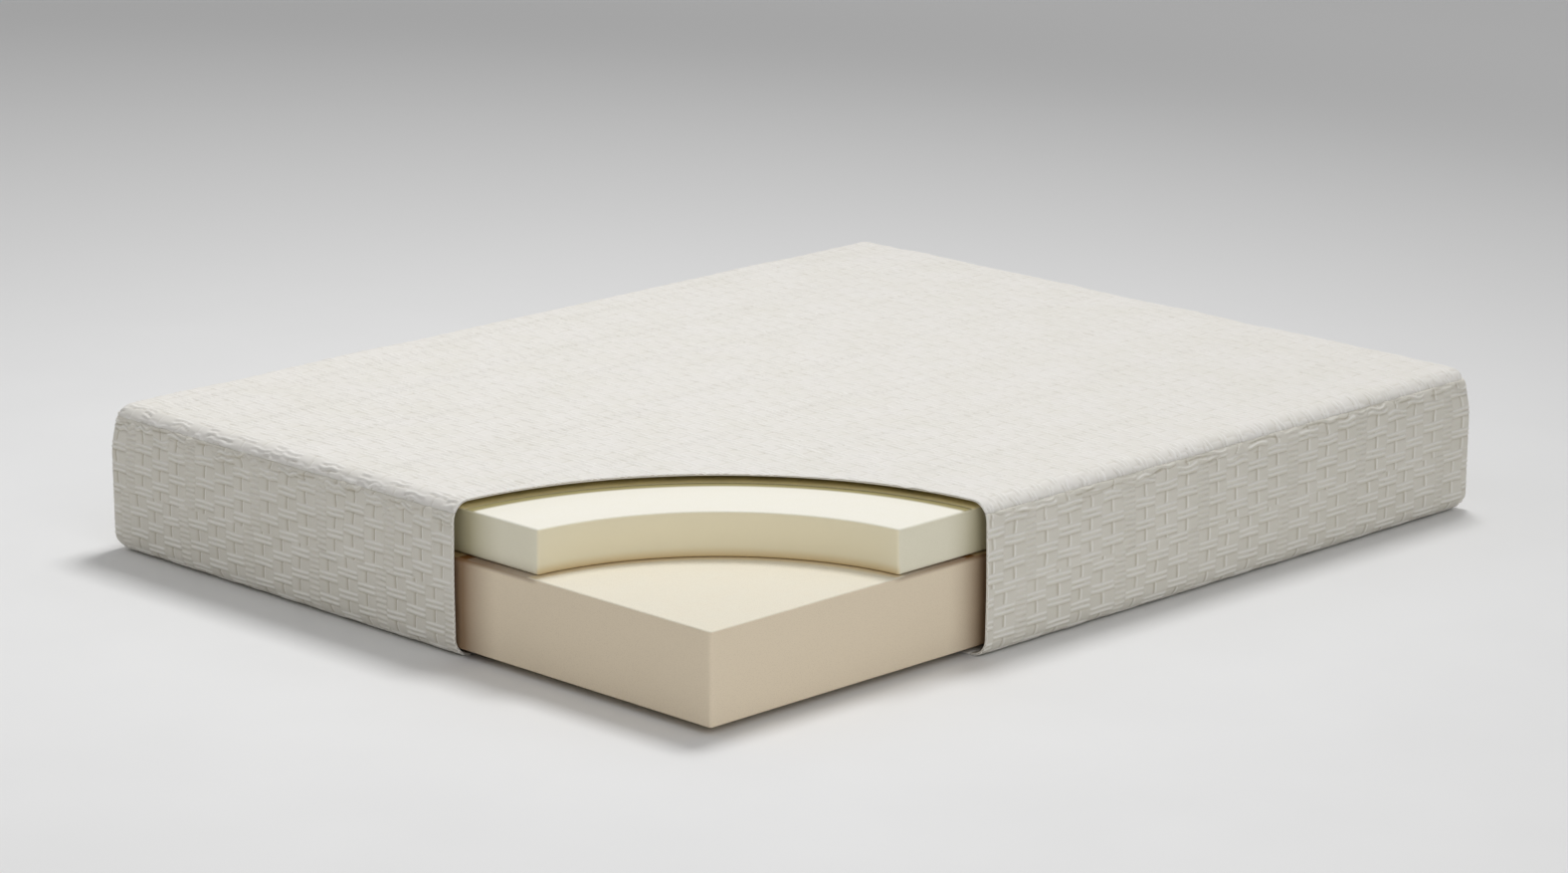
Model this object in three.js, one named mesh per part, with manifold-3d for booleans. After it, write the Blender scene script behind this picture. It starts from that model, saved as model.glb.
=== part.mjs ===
// Memory foam mattress, 1600 x 2000 x 280 mm, with one foot-end corner cut away to show its layers.
// Millimetres, +Z up. The origin is the centre of the underside. X is the width and Y the length:
// the head end is at +Y, the foot end at -Y, and the cut corner is the one at +X, -Y.
import * as THREE from "three";
import { mergeVertices } from "three/addons/utils/BufferGeometryUtils.js";
import Module from "manifold-3d";

const wasm = await Module();
wasm.setup();

// ---- driving dimensions ----
const WIDTH = 1600;
const LENGTH = 2000;
const HEIGHT = 280;
const GAP = 0.3; // clearance between pieces that touch
const ARC_STEPS = 8; // facets in a quarter turn of the cover's and the foam's roundings
const SMALL_STEPS = 4; // the same on the metal parts of the zip
const CUT_STEPS = 96; // facets round the whole circle of a corner cut

// cover
const COVER = 4.5; // thickness of the quilted knit
const EDGE_RADIUS = 36; // rounding of the long top and bottom edges
const CORNER_RADIUS = 12; // rounding of the upright corners
const SEAM_DROP = 21; // how far below the top the top panel is sewn to the border
const COVER_CUT = 647; // radius of the opening in the cover
const BOTTOM_PAD = 12; // thickness of the quilted bottom panel

// foam core: the gaps from each outer face of the cover to the base foam
const GAP_PLUS_X = 28;
const GAP_MINUS_X = 12;
const GAP_PLUS_Y = 24;
const GAP_MINUS_Y = 12;
const CORE_BOTTOM = 16;
const BASE_THICK = 165;
const FILM_THICK = 0.5;
const MEMORY_THICK = 81;
const MEMORY_INSET = 6; // how far the memory foam stands back from the base foam
const MEMORY_INSET_FOOT = 16; // the same at the foot end
const MEMORY_CUT = 462; // radius of the opening in the memory foam
const FILM_INSET = 10; // the adhesive stops short of the foam's edges
const FOAM_ROUND = 5; // cut edges of the foam

// inner sock, pulled over the foam core
const SOCK = 1.6;
const SOCK_EASE = 0.3;
const SOCK_CUT = COVER_CUT + 60;

// zip along the head end
const ZIP_Z = 62;
const ZIP_HALF = 712; // half length of the coil
const WINDOW_HALF = 740; // half length of the window in the border
const WINDOW_HIGH = 16;
const HEM = 4; // fabric turned in round the window
const TAPE_WIDE = 20;
const TAPE_THICK = 1;
const TAPE_SPARE = 12; // how far the tapes run past the window's ends
const TAPE_SPLIT = 1.5; // half the gap between the two tapes
const TAPE_BACK = LENGTH / 2 - 12.4; // inner face of the tapes
const COIL_SPLIT = 0.55; // half the groove between the two coils
const COIL_HIGH = 3.25;
const COIL_THICK = 2.8;
const STOP_LONG = 5;
const SLIDER_X = 700; // slider's place when the zip is closed
const SLIDER_LONG = 15;
const SLIDER_HIGH = 11.4;
const SLIDER_WALL = 1.6;
const SLIDER_ROUND = 3;
const FLANGE_CLEAR = 0.4; // between the slider's flanges and the coils
const FLANGE_INSET = 0.1; // flanges stop short of the wings' edges
const WEB_HALF = 3;
const WEB_THICK = 0.5;
const OVERRUN = 0.5; // how far joined parts of the slider run into each other
const CROWN_HALF = 5.4;
const CROWN_HIGH = 3;
const CROWN_WIDE = 3;
const CROWN_WALL = 1.2;
const PULL_LONG = 26;
const PULL_WIDE = 8;
const PULL_THICK = 1.2;
const PULL_ROUND = 2;
const PULL_EYE_LONG = 9;
const PULL_EYE_WIDE = 3.8;

// sewn-in label at the head end
const LABEL = { wide: 90, high: 60, thick: 0.6, x: -560, bottom: 96 };

const HALF_W = WIDTH / 2;
const HALF_L = LENGTH / 2;
const SEAM_Z = HEIGHT - SEAM_DROP;

// ---- colours ----
const COLOURS = {
  knit: 0xe3e1da,
  memory: 0xefeee2,
  base: 0xdccfb0,
  film: 0xc9a54e,
  sock: 0xe9e6dc,
  tape: 0xdedcd4,
  coil: 0xd3d1c9,
  metal: 0xb9bcc0,
  label: 0xf5f5f2,
};

// ---- solids ----
function solid(geometry) {
  const bare = geometry.clone();
  bare.deleteAttribute("normal");
  bare.deleteAttribute("uv");
  const merged = mergeVertices(bare, 1e-4);
  return new wasm.Manifold(
    new wasm.Mesh({
      numProp: 3,
      vertProperties: new Float32Array(merged.attributes.position.array),
      triVerts: new Uint32Array(merged.index.array),
    }),
  );
}

function geometryOf(made) {
  const mesh = made.getMesh();
  const geometry = new THREE.BufferGeometry();
  geometry.setAttribute("position", new THREE.BufferAttribute(mesh.vertProperties, 3));
  geometry.setIndex(new THREE.BufferAttribute(mesh.triVerts, 1));
  geometry.computeVertexNormals();
  return geometry;
}

// A box from its lowest and highest corners.
function box(low, high) {
  const size = high.map((v, i) => v - low[i]);
  const geometry = new THREE.BoxGeometry(...size);
  geometry.translate(...low.map((v, i) => v + size[i] / 2));
  return solid(geometry);
}

function roundedRectangle(x0, y0, x1, y1, radius) {
  const shape = new THREE.Shape();
  shape.moveTo(x0 + radius, y0);
  shape.lineTo(x1 - radius, y0);
  shape.absarc(x1 - radius, y0 + radius, radius, -Math.PI / 2, 0);
  shape.lineTo(x1, y1 - radius);
  shape.absarc(x1 - radius, y1 - radius, radius, 0, Math.PI / 2);
  shape.lineTo(x0 + radius, y1);
  shape.absarc(x0 + radius, y1 - radius, radius, Math.PI / 2, Math.PI);
  shape.lineTo(x0, y0 + radius);
  shape.absarc(x0 + radius, y0 + radius, radius, Math.PI, 1.5 * Math.PI);
  return shape;
}

function prism(shape, depth, steps = ARC_STEPS) {
  return new THREE.ExtrudeGeometry(shape, { depth, bevelEnabled: false, curveSegments: steps });
}

// A block with every edge rounded: edge along its long edges, corner at its upright ones.
// It is what three crossed prisms have in common.
function block(low, high, edge, corner) {
  const [x0, y0, z0] = low;
  const [x1, y1, z1] = high;
  const plan = prism(roundedRectangle(x0, y0, x1, y1, corner), z1 - z0);
  plan.translate(0, 0, z0);
  const along = prism(roundedRectangle(x0, z0, x1, z1, edge), y1 - y0);
  along.rotateX(Math.PI / 2);
  along.translate(0, y1, 0);
  const across = prism(roundedRectangle(-z1, y0, -z0, y1, edge), x1 - x0);
  across.rotateY(Math.PI / 2);
  across.translate(x0, 0, 0);
  return solid(plan).intersect(solid(along)).intersect(solid(across));
}

// The upright cylinder that cuts the corner away, centred on the cover's own corner.
function cornerCut(radius) {
  const geometry = new THREE.CylinderGeometry(radius, radius, 3 * HEIGHT, CUT_STEPS);
  geometry.rotateX(Math.PI / 2);
  geometry.translate(HALF_W, -HALF_L, HEIGHT / 2);
  return solid(geometry);
}

// One side of the mattress seen from above, mitred at the corners: side 0 is the foot end, then
// right, head and left, going round.
function mitre(side) {
  const deep = HALF_W / 2;
  const reach = side % 2 ? HALF_L : HALF_W;
  const face = side % 2 ? HALF_W : HALF_L;
  const half = GAP / 2;
  const shape = new THREE.Shape();
  shape.moveTo(-reach - 1 + half, -face - 1);
  shape.lineTo(reach + 1 - half, -face - 1);
  shape.lineTo(reach - deep - half, -face + deep);
  shape.lineTo(-reach + deep + half, -face + deep);
  shape.closePath();
  const geometry = prism(shape, SEAM_Z - GAP);
  geometry.rotateZ((side * Math.PI) / 2);
  return solid(geometry);
}

const outer = block([-HALF_W, -HALF_L, 0], [HALF_W, HALF_L, HEIGHT], EDGE_RADIUS, CORNER_RADIUS);
const inner = block(
  [-HALF_W + COVER, -HALF_L + COVER, COVER],
  [HALF_W - COVER, HALF_L - COVER, HEIGHT - COVER],
  EDGE_RADIUS - COVER,
  CORNER_RADIUS - COVER,
);
const coverShell = outer.subtract(inner).subtract(cornerCut(COVER_CUT));

function coverTopPanel() {
  return coverShell.intersect(
    box([-WIDTH, -LENGTH, SEAM_Z], [WIDTH, LENGTH, 2 * HEIGHT]),
  );
}

// The flat underside, inside the rounding of the borders.
function coverBottomPanel() {
  const inset = EDGE_RADIUS + GAP / 2;
  const pad = box(
    [-HALF_W + inset, -HALF_L + inset, 0],
    [HALF_W - inset, HALF_L - inset, BOTTOM_PAD],
  );
  return pad.subtract(cornerCut(COVER_CUT));
}

// A side of the cover, from the top panel's seam down round the bottom rounding.
function border(side) {
  const inset = EDGE_RADIUS - GAP / 2;
  const middle = box(
    [-HALF_W + inset, -HALF_L + inset, -1],
    [HALF_W - inset, HALF_L - inset, HEIGHT],
  );
  return coverShell.intersect(mitre(side)).subtract(middle);
}

// The head-end border is two strips, with the zip in a window between them. The fabric is turned
// in round the window, and the tapes lie behind that hem. up is 1 for the upper strip.
function headBorder(up) {
  const half = WINDOW_HIGH / 2;
  const from = ZIP_Z + (up * GAP) / 2;
  const reach = up * 2 * HEIGHT;
  const strip = border(2).intersect(
    box([-WIDTH, 0, Math.min(from, reach)], [WIDTH, LENGTH, Math.max(from, reach)]),
  );
  const window = box(
    [-WINDOW_HALF, HALF_L - 3 * COVER, ZIP_Z - half],
    [WINDOW_HALF, LENGTH, ZIP_Z + half],
  );
  const hemBack = TAPE_BACK + TAPE_THICK + GAP;
  const edge = [ZIP_Z + up * half, ZIP_Z + up * (half + HEM)];
  const hem = box(
    [-WINDOW_HALF, hemBack, Math.min(...edge)],
    [WINDOW_HALF, HALF_L - COVER / 2, Math.max(...edge)],
  );
  return strip.subtract(window).add(hem);
}

// ---- foam core ----
const core = {
  x0: -HALF_W + GAP_MINUS_X,
  x1: HALF_W - GAP_PLUS_X,
  y0: -HALF_L + GAP_MINUS_Y,
  y1: HALF_L - GAP_PLUS_Y,
};
const baseTop = CORE_BOTTOM + BASE_THICK;
const filmBottom = baseTop + GAP / 2;
const memoryBottom = filmBottom + FILM_THICK + GAP;
const memoryTop = memoryBottom + MEMORY_THICK;
const memoryArea = {
  x0: core.x0 + MEMORY_INSET,
  x1: core.x1 - MEMORY_INSET,
  y0: core.y0 + MEMORY_INSET_FOOT,
  y1: core.y1 - MEMORY_INSET,
};

function baseFoam() {
  return block([core.x0, core.y0, CORE_BOTTOM], [core.x1, core.y1, baseTop], FOAM_ROUND, FOAM_ROUND);
}

function memoryFoam() {
  const { x0, x1, y0, y1 } = memoryArea;
  const layer = block([x0, y0, memoryBottom], [x1, y1, memoryTop], FOAM_ROUND, FOAM_ROUND);
  return layer.subtract(cornerCut(MEMORY_CUT));
}

function adhesiveFilm() {
  const { x0, x1, y0, y1 } = memoryArea;
  const film = box(
    [x0 + FILM_INSET, y0 + FILM_INSET, filmBottom],
    [x1 - FILM_INSET, y1 - FILM_INSET, filmBottom + FILM_THICK],
  );
  return film.subtract(cornerCut(MEMORY_CUT + FILM_INSET));
}

function innerSock() {
  const skin = (grow) =>
    block(
      [core.x0 - grow, core.y0 - grow, CORE_BOTTOM - grow],
      [core.x1 + grow, core.y1 + grow, memoryTop + grow],
      FOAM_ROUND + grow,
      FOAM_ROUND + grow,
    );
  return skin(SOCK_EASE + SOCK).subtract(skin(SOCK_EASE)).subtract(cornerCut(SOCK_CUT));
}

// ---- zip ----
const tapeFront = TAPE_BACK + TAPE_THICK;
const coilBack = tapeFront + GAP;
const coilFront = coilBack + COIL_THICK;

// A bar along the zip: up is 1 above the zip's centre line and -1 below it, and near and far are
// heights from that line.
function zipBar(up, near, far, x0, x1, y0, y1) {
  const z = [ZIP_Z + up * near, ZIP_Z + up * far];
  return box([x0, y0, Math.min(...z)], [x1, y1, Math.max(...z)]);
}

function zipTape(up) {
  const reach = WINDOW_HALF + TAPE_SPARE;
  return zipBar(up, TAPE_SPLIT, TAPE_WIDE, -reach, reach, TAPE_BACK, tapeFront);
}

function zipCoil(up) {
  return zipBar(up, COIL_SPLIT, COIL_SPLIT + COIL_HIGH, -ZIP_HALF, ZIP_HALF, coilBack, coilFront);
}

// A metal clip across both coils' ends.
function endStop(side) {
  const near = side * (ZIP_HALF + GAP);
  const far = side * (ZIP_HALF + GAP + STOP_LONG);
  const half = COIL_SPLIT + COIL_HIGH;
  return box(
    [Math.min(near, far), coilBack, ZIP_Z - half],
    [Math.max(near, far), coilFront, ZIP_Z + half],
  );
}

// Two wings joined by a thin web that runs in the groove between the coils, with flanges over the
// coils and a crown that holds the pull.
const wingBack = coilFront + GAP;
const wingFront = wingBack + SLIDER_WALL;
const backWingFront = TAPE_BACK - GAP;
const crownTop = wingFront + CROWN_HIGH;
function slider() {
  const half = SLIDER_HIGH / 2;
  const x0 = SLIDER_X - SLIDER_LONG / 2;
  const x1 = SLIDER_X + SLIDER_LONG / 2;
  const wingShape = roundedRectangle(x0, -half, x1, half, SLIDER_ROUND);
  const wing = (y) => {
    const geometry = prism(wingShape, SLIDER_WALL, SMALL_STEPS);
    geometry.rotateX(Math.PI / 2);
    geometry.translate(0, y, ZIP_Z);
    return solid(geometry);
  };
  let made = wing(wingFront).add(wing(backWingFront));
  made = made.add(
    box(
      [SLIDER_X - WEB_HALF, backWingFront - OVERRUN, ZIP_Z - WEB_THICK / 2],
      [SLIDER_X + WEB_HALF, wingBack + OVERRUN, ZIP_Z + WEB_THICK / 2],
    ),
  );
  const near = COIL_SPLIT + COIL_HIGH + FLANGE_CLEAR;
  const far = half - FLANGE_INSET;
  const ends = [x0 + SLIDER_ROUND, x1 - SLIDER_ROUND];
  for (const up of [1, -1]) {
    made = made.add(zipBar(up, near, far, ...ends, tapeFront + GAP, wingBack + OVERRUN));
  }
  for (const side of [-1, 1]) {
    const a = SLIDER_X + side * (CROWN_HALF - CROWN_WALL);
    const b = SLIDER_X + side * CROWN_HALF;
    made = made.add(
      box(
        [Math.min(a, b), wingFront - OVERRUN, ZIP_Z - CROWN_WIDE / 2],
        [Math.max(a, b), crownTop, ZIP_Z + CROWN_WIDE / 2],
      ),
    );
  }
  return made.add(
    box(
      [SLIDER_X - CROWN_HALF, crownTop - CROWN_WALL, ZIP_Z - CROWN_WIDE / 2],
      [SLIDER_X + CROWN_HALF, crownTop, ZIP_Z + CROWN_WIDE / 2],
    ),
  );
}

// A flat tab with an eye round the crown. It turns about an upright axis at pullAxisY.
const pullAxisY = (wingFront + crownTop - CROWN_WALL) / 2;
function pull() {
  const bar = PULL_THICK / 2;
  const shape = roundedRectangle(-PULL_LONG, -PULL_WIDE / 2, bar, PULL_WIDE / 2, PULL_ROUND);
  const eye = new THREE.Path();
  const eyeHalf = PULL_EYE_WIDE / 2;
  eye.moveTo(-PULL_EYE_LONG, -eyeHalf);
  eye.lineTo(-PULL_EYE_LONG, eyeHalf);
  eye.lineTo(-bar, eyeHalf);
  eye.lineTo(-bar, -eyeHalf);
  eye.closePath();
  shape.holes.push(eye);
  const geometry = prism(shape, PULL_THICK, SMALL_STEPS);
  geometry.rotateX(Math.PI / 2);
  geometry.translate(SLIDER_X, pullAxisY + PULL_THICK / 2, ZIP_Z);
  return solid(geometry);
}

// A blank woven label, lying on the head-end border. Its border is recessed by its own thickness.
function labelBox(grow) {
  const { wide, high, thick, x, bottom } = LABEL;
  return box(
    [x - wide / 2 - grow, HALF_L - thick - grow, bottom - grow],
    [x + wide / 2 + grow, HALF_L + 2 * grow, bottom + high + grow],
  );
}

// ---- assembly ----
const material = (colour, roughness = 0.9, metalness = 0) =>
  new THREE.MeshStandardMaterial({ color: COLOURS[colour], roughness, metalness });

const mattress = new THREE.Group();
mattress.name = "memory_foam_mattress";

function add(name, made, look) {
  const mesh = new THREE.Mesh(geometryOf(made), look);
  mesh.name = name;
  mattress.add(mesh);
}

add("cover_top_panel", coverTopPanel(), material("knit"));
add("cover_foot_border", border(0), material("knit"));
add("cover_right_border", border(1), material("knit"));
add("cover_head_border_upper", headBorder(1).subtract(labelBox(GAP)), material("knit"));
add("cover_head_border_lower", headBorder(-1), material("knit"));
add("cover_left_border", border(3), material("knit"));
add("cover_bottom_panel", coverBottomPanel(), material("knit"));
add("inner_sock", innerSock(), material("sock"));
add("memory_foam_layer", memoryFoam(), material("memory"));
add("adhesive_film", adhesiveFilm(), material("film", 0.5));
add("base_foam_layer", baseFoam(), material("base"));
add("zip_tape_upper", zipTape(1), material("tape"));
add("zip_tape_lower", zipTape(-1), material("tape"));
add("zip_coil_upper", zipCoil(1), material("coil", 0.45));
add("zip_coil_lower", zipCoil(-1), material("coil", 0.45));
add("zip_stop_closed_end", endStop(1), material("metal", 0.35, 1));
add("zip_stop_open_end", endStop(-1), material("metal", 0.35, 1));
add("zip_slider", slider(), material("metal", 0.35, 1));
add("zip_pull", pull(), material("metal", 0.35, 1));
add("care_label", labelBox(0), material("label", 0.7));

export default mattress;
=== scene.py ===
"""Looks of the memory foam mattress with a cut-away corner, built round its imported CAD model.

Metres, +Z up. The foot end is at -Y, the head end with the zip at +Y, and the cut corner at +X, -Y.
"""
import functools
import math

import bmesh
import bpy
import numpy as np
from mathutils import Matrix, Vector
from mathutils.geometry import delaunay_2d_cdt


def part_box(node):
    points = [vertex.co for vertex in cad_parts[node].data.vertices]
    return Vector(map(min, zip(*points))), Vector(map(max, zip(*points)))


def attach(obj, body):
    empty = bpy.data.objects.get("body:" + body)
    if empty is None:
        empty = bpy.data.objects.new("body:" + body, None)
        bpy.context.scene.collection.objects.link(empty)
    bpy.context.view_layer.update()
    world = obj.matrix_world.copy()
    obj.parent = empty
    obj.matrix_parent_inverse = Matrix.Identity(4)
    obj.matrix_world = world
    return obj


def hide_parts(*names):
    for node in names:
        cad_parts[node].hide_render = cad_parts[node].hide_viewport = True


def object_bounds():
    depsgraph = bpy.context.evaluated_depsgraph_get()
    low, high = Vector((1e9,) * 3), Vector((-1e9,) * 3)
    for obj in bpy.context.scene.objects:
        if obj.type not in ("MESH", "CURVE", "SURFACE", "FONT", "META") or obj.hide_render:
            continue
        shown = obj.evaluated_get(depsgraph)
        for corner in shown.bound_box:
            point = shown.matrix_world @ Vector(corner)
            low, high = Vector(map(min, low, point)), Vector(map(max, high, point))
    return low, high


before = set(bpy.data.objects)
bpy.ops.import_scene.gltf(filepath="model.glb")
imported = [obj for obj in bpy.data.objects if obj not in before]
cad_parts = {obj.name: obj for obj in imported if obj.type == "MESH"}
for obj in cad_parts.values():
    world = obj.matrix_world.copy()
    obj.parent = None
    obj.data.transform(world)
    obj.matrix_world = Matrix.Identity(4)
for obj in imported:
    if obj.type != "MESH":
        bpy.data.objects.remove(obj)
scene = bpy.context.scene
cad_box = [list(corner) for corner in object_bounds()]

MM = 0.001
join = np.concatenate

# ---- sizes, from the frame where it has them ----
HALF_W, HALF_L, HEIGHT = cad_box[1]
top_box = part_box("cover_top_panel")
bottom_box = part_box("cover_bottom_panel")
base_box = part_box("base_foam_layer")
memory_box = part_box("memory_foam_layer")
sock_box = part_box("inner_sock")
tape_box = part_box("zip_tape_upper")
slider_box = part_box("zip_slider")
label_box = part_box("care_label")
SEAM_Z = top_box[0].z
EDGE = round(HALF_W + bottom_box[0].x, 3)  # rounding of the long edges
CORNER = 12 * MM  # rounding of the upright corners
COVER_CUT = 647 * MM  # radius of the opening in the cover
MEMORY_CUT = 462 * MM  # and in the memory foam
CUT_CENTRE = np.array([HALF_W, -HALF_L])
COVER = 4.5 * MM
ZIP_Z = (slider_box[0].z + slider_box[1].z) / 2
WINDOW_HALF = 740 * MM
WINDOW_END = 10 * MM  # length of the window's tapered ends
WINDOW_HIGH = 16 * MM

# ---- the section of a border: arc length up from the underside ----
BOTTOM_ARC = EDGE * math.pi / 2
WALL_TOP = BOTTOM_ARC + HEIGHT - 2 * EDGE
SEAM_ANGLE = math.asin((SEAM_Z - (HEIGHT - EDGE)) / EDGE)
BORDER_HIGH = WALL_TOP + EDGE * SEAM_ANGLE
TOP_ARC = EDGE * (math.pi / 2 - SEAM_ANGLE)


def smooth(x, low, high):
    """0 below low, 1 above high, and an S-shaped way between."""
    t = np.clip((x - low) / (high - low), 0, 1)
    return t * t * (3 - 2 * t)


def ripple(x, y, seed, length, count=9):
    """Smooth noise from about -1 to 1: waves of about that length in many directions."""
    rng = np.random.default_rng(seed)
    total = np.zeros_like(x)
    for _ in range(count):
        angle = rng.uniform(0, math.pi)
        k = 2 * math.pi / (length * rng.uniform(0.7, 1.6))
        phase = rng.uniform(0, 2 * math.pi)
        total += np.sin(k * (math.cos(angle) * x + math.sin(angle) * y) + phase)
    return total / math.sqrt(count)


def unit(ways):
    """The same directions, each 1 long."""
    return ways / np.linalg.norm(ways, axis=-1, keepdims=True)


def placed(name, data):
    """A new object with that data, in the scene."""
    made = bpy.data.objects.new(name, data)
    scene.collection.objects.link(made)
    return made


# ---- the jacquard: pairs of bars that alternate with blocks split by one groove ----
PITCH = 9.6 * MM  # of the bars in a pair
BAR_HALF = 4.6 * MM
NARROW = 28 * MM


class Weave:
    """Heights of the basket weave. s runs along the bars and t across them."""

    def __init__(self, seed, wide, period, reach, cleft=1.0):
        """cleft is how much of its full depth a block's groove has."""
        rng = np.random.default_rng(seed)
        self.seed, self.period, self.wide, self.cleft = seed, period, wide, cleft
        edges, kinds = [-reach], []
        while edges[-1] < reach:
            kinds += [0, 0, 0, 1] if rng.random() < 0.55 else [0, 0, 0, 0, 1]
            for kind in kinds[len(edges) - 1 :]:
                step = NARROW if kind else wide
                edges.append(edges[-1] + step * rng.uniform(0.92, 1.08))
        self.edges, self.kinds = np.array(edges), np.array(kinds)
        self.kinds[np.abs(self.edges[:-1]) > reach - 0.2] = 0
        steps = np.cumsum(np.where(self.kinds, 0.27, 0.5))
        self.phase = steps + rng.uniform(-0.04, 0.04, len(kinds))

    def sample(self, s, t, break_at=0.0, band=350 * MM):
        """Height, from about 0 in the grooves to 1 on the bars, and a tone there of painted shade and
        painted highlight.
        """
        period = self.period
        t = t + 0.6 * MM * ripple(s, t, self.seed + 1, 60 * MM)
        row = np.floor((t - break_at) / band)
        shifted = s + np.mod(row, 2) * self.wide * 0.53 + row * 7 * MM
        shifted = shifted + 2.2 * MM * ripple(s, t, self.seed + 2, 130 * MM)
        last = len(self.kinds) - 1
        k = np.clip(np.searchsorted(self.edges, shifted) - 1, 0, last)
        left, right = self.edges[k], self.edges[k + 1]
        narrow = self.kinds[k] == 1
        repeat = np.where(narrow, period / 2, period)
        turn = t / repeat + self.phase[k]
        u = (turn - np.floor(turn)) * repeat
        side = np.minimum(shifted - left, right - shifted)
        # the pair of bars, over the first part of the period: v is -1 under a bar and 1 on top of it
        v = np.where(u < PITCH, u - PITCH / 2, u - 1.5 * PITCH) / BAR_HALF
        taper = smooth(side, -3.5 * MM, 4.5 * MM)
        bar = np.cos(np.clip(np.abs(v), 0, 1) * math.pi / 2) ** 0.8
        bar = np.where((u > 1.5 * PITCH) & ~narrow, np.maximum(bar, 0.42), bar) * (0.35 + 0.65 * taper)
        # the bars' tone: a painted highlight along each bar's upper slope, and painted shade under each
        # bar
        painted_highlight = np.exp(-(((v - 0.35) / 0.4) ** 2)) * np.where(narrow, 0.2, 0.4) * taper
        bar_tone = 0.14 + 0.46 * smooth(v, -1.3, -0.6) + painted_highlight
        # the block, over the rest of it, with a groove that slopes in from the left and ends in a step
        from_groove = shifted - (left + right) / 2 - 2 * MM * (self.phase[k] % 1 - 0.5)
        slope = np.clip((from_groove + 12 * MM) / (11.5 * MM), 0, 1) ** 2
        step = smooth(from_groove, -0.4 * MM, 2.2 * MM)
        hollow = self.cleft * np.where(from_groove < 0, slope, 1 - step)
        groove = 1 - 0.85 * hollow
        lower = 0.65 + 0.35 * smooth(u - 2 * PITCH, 0, 3 * MM)
        upper = smooth(period - u, -0.3 * MM, 2.4 * MM)
        block = 0.7 * lower * upper * groove * (0.75 + 0.25 * smooth(side, 0, 3 * MM))
        # the block's tone: painted shade down the groove's slope and under the bars above, and a painted
        # highlight on the groove's step
        painted_glint = step * (1 - smooth(from_groove, 2.6 * MM, 5 * MM))
        block_tone = (0.58 - 0.44 * hollow + 0.5 * self.cleft * painted_glint) * (0.45 + 0.55 * upper)
        on_bar = narrow | (u < 2 * PITCH)
        return np.where(on_bar, bar, block), np.where(on_bar, bar_tone, block_tone)


# ---- surfaces ----
def mesh_object(name, points, polygons, flat=None, relief=None):
    """polygons is a list of arrays, each with the corners of polygons that have as many corners."""
    polygons = [np.asarray(p, np.int32) for p in polygons if len(p)]
    sizes = join([np.full(len(p), p.shape[1], np.int32) for p in polygons])
    corners = join([p.ravel() for p in polygons])
    mesh = bpy.data.meshes.new(name)
    mesh.vertices.add(len(points))
    mesh.vertices.foreach_set("co", np.asarray(points, np.float32).ravel())
    mesh.loops.add(len(corners))
    mesh.loops.foreach_set("vertex_index", corners)
    mesh.polygons.add(len(sizes))
    mesh.polygons.foreach_set("loop_start", join([[0], np.cumsum(sizes)[:-1]]))
    mesh.update(calc_edges=True)
    mesh.validate()
    mesh.polygons.foreach_set("use_smooth", np.ones(len(mesh.polygons), bool))
    if flat is not None:
        layer = mesh.attributes.new("weave_place", "FLOAT_VECTOR", "POINT")
        place = np.zeros((len(points), 3), np.float32)
        place[:, :2] = flat
        layer.data.foreach_set("vector", place.ravel())
    if relief is not None:
        layer = mesh.attributes.new("relief", "FLOAT", "POINT")
        layer.data.foreach_set("value", np.asarray(relief, np.float32))
    return placed(name, mesh)


def grid(columns, rows):
    """The quads of a grid whose points are stored column by column."""
    i, j = np.meshgrid(np.arange(columns - 1), np.arange(rows - 1), indexing="ij")
    a = (i * rows + j).ravel()
    return np.stack([a, a + rows, a + rows + 1, a + 1], axis=1)


def clipped(flat, quads, value, step):
    """The grid without the part where value is below 0, its edge cells cut to fit."""

    def settle(p):
        tiny = 1e-6
        for _ in range(4):
            v = value(p)
            gx = (value(p + [tiny, 0]) - v) / tiny
            gy = (value(p + [0, tiny]) - v) / tiny
            size = np.maximum(gx * gx + gy * gy, 0.25)
            p = p - np.stack([gx, gy], axis=1) * (v / size)[:, None]
        return p

    v = value(flat)
    near = (np.abs(v) < 0.3 * step) & (v != 0)
    flat = flat.copy()
    flat[near] = settle(flat[near])
    v[near | (np.abs(v) < 1e-9)] = 0
    kept = (v[quads] >= 0).all(axis=1)
    crossed = quads[~kept & (v[quads] > 0).any(axis=1)]
    extra, found, pieces = [], {}, []
    for quad in crossed:
        shape = []
        for a, b in zip(quad, np.roll(quad, -1)):
            if v[a] >= 0:
                shape.append(a)
            if v[a] * v[b] < 0:
                key = (min(a, b), max(a, b))
                if key not in found:
                    found[key] = len(flat) + len(extra)
                    extra.append(flat[a] + (flat[b] - flat[a]) * v[a] / (v[a] - v[b]))
                shape.append(found[key])
        if len(shape) > 2:
            pieces.append(shape)
    if extra:
        flat = join([flat, settle(np.array(extra))])
    polygons = [quads[kept]]
    for size in (3, 4, 5):
        some = [p for p in pieces if len(p) == size]
        if some:
            polygons.append(np.array(some))
    used = np.unique(join([p.ravel() for p in polygons]))
    number = np.zeros(len(flat), np.int64)
    number[used] = np.arange(len(used))
    return flat[used], [number[p] for p in polygons]


def rim_of(polygons, count):
    """The points round an open surface's edge, in order."""
    starts = join([p.ravel() for p in polygons]).astype(np.int64)
    ends = join([np.roll(p, -1, axis=1).ravel() for p in polygons])
    free = ~np.isin(starts * count + ends, ends * count + starts)
    following = dict(zip(starts[free].tolist(), ends[free].tolist()))
    first = min(following)
    loop = [first]
    while following[loop[-1]] != first:
        loop.append(following[loop[-1]])
    if len(loop) != len(following):
        raise RuntimeError("the surface has more than one edge loop")
    return np.array(loop)


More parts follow.
